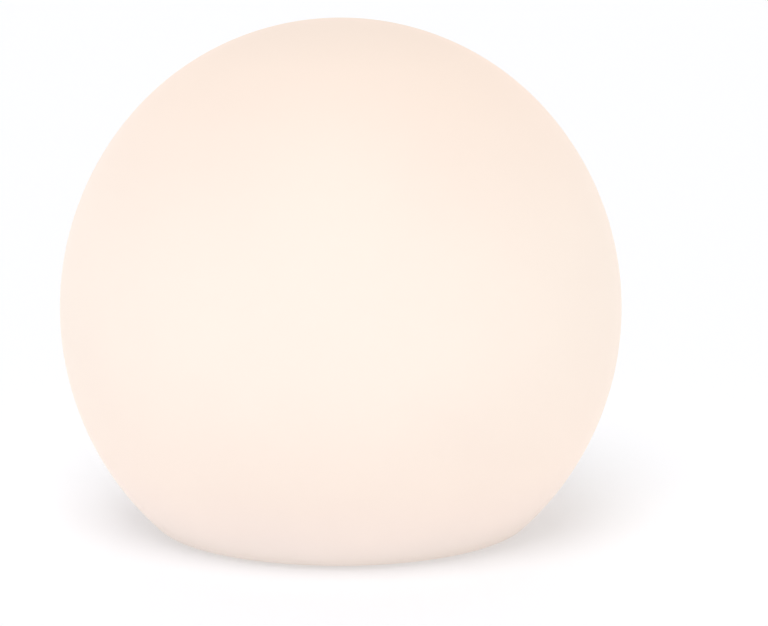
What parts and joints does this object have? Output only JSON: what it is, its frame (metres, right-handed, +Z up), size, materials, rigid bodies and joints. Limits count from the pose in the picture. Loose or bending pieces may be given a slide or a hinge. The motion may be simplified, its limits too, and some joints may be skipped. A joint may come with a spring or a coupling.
{
  "type": "garden globe light",
  "caption": "Opal plastic globe light with a flattened base for a lawn, bed or terrace, lit from inside by a sealed rechargeable light module screwed into the recess underneath.",
  "frame": {"origin": "centre of the bottom, on the floor that the four foot pads stand on", "axes": "+Z up through the globe's crown; +X towards the charging port under the base; the globe itself is round about Z"},
  "size_m": [0.3, 0.3, 0.2718],
  "materials": {
    "opal_plastic": "translucent rotomoulded polyethylene, satin, lit warm white from inside",
    "grey_rubber": "matt",
    "brass": "turned",
    "white_silicone": "matt",
    "white_plastic": "satin moulded",
    "stainless_steel": "satin",
    "black_rubber": "matt",
    "spring_steel": "bright",
    "black_plastic": "satin moulded",
    "board_laminate": "solder mask",
    "ferrite": "matt",
    "can_aluminium": "bright",
    "cream_plastic": "moulded",
    "clear_plastic": "clear, polished",
    "contact_brass": "bright",
    "nickel_brass": "nickel plated",
    "cap_rubber": "matt",
    "cell_can": "film over a steel can",
    "sleeve_film": "shrink film",
    "nickel_strip": "bright",
    "foam_rubber": "closed-cell foam",
    "bracket_aluminium": "satin",
    "white_board": "white solder mask on a metal core",
    "light_chip": "phosphor under clear resin",
    "opal_dome": "translucent, satin",
    "button_plastic": "satin moulded",
    "red_lead": "PVC covered",
    "black_lead": "PVC covered"
  },
  "bodies": {
    "globe_light": {"base_gasket": "white_silicone", "base_plate": "white_plastic", "base_screws": "stainless_steel", "base_washers": "stainless_steel", "battery_bracket": "bracket_aluminium", "battery_cells": "cell_can", "battery_lead_black": "black_lead", "battery_lead_red": "red_lead", "battery_pad": "foam_rubber", "battery_sleeve": "sleeve_film", "board_connectors": "cream_plastic", "board_screws": "stainless_steel", "bracket_screws": "stainless_steel", "button_spring": "spring_steel", "cell_strips": "nickel_strip", "charge_jack": "black_plastic", "diffuser_dome": "opal_dome", "dome_gasket": "white_silicone", "dome_ring": "white_plastic", "driver_board": "board_laminate", "driver_capacitor": "can_aluminium", "driver_chips": "black_plastic", "driver_inductor": "ferrite", "foot_pads": "grey_rubber", "globe_shell": "opal_plastic", "heat_spreader": "bracket_aluminium", "housing_can": "white_plastic", "housing_o_ring": "black_rubber", "housing_screws": "stainless_steel", "jack_contact_pin": "contact_brass", "jack_lead_black": "black_lead", "jack_lead_red": "red_lead", "jack_nut": "nickel_brass", "jack_seal": "black_rubber", "light_board": "white_board", "light_board_screws": "stainless_steel", "light_chips": "light_chip", "light_lead_black": "black_lead", "light_lead_red": "red_lead", "light_pipe": "clear_plastic", "port_cap_anchor": "cap_rubber", "push_switch": "black_plastic", "remote_receiver": "black_plastic", "spreader_screws": "stainless_steel", "status_light": "clear_plastic", "thread_inserts": "brass", "wire_grommet": "black_rubber"},
    "power_button": {"button_clip": "spring_steel", "button_o_ring": "black_rubber", "power_button": "button_plastic", "switch_plunger": "black_plastic"},
    "port_cap": {"port_cap": "cap_rubber"}
  },
  "joints": [
    {"name": "power_button_press", "type": "slide", "parent": "globe_light", "child": "power_button", "axis": [0, 0, 1], "range_m": [0, 0.0015], "stiffness_N_per_m": 600, "springref_m": -0.002, "deforming": ["button_spring"]},
    {"name": "port_cap_hinge", "type": "hinge", "parent": "globe_light", "child": "port_cap", "pos_m": [0.03, -0.012, 0.0059], "axis": [-1, 0, 0], "range_deg": [0, 100]}
  ]
}
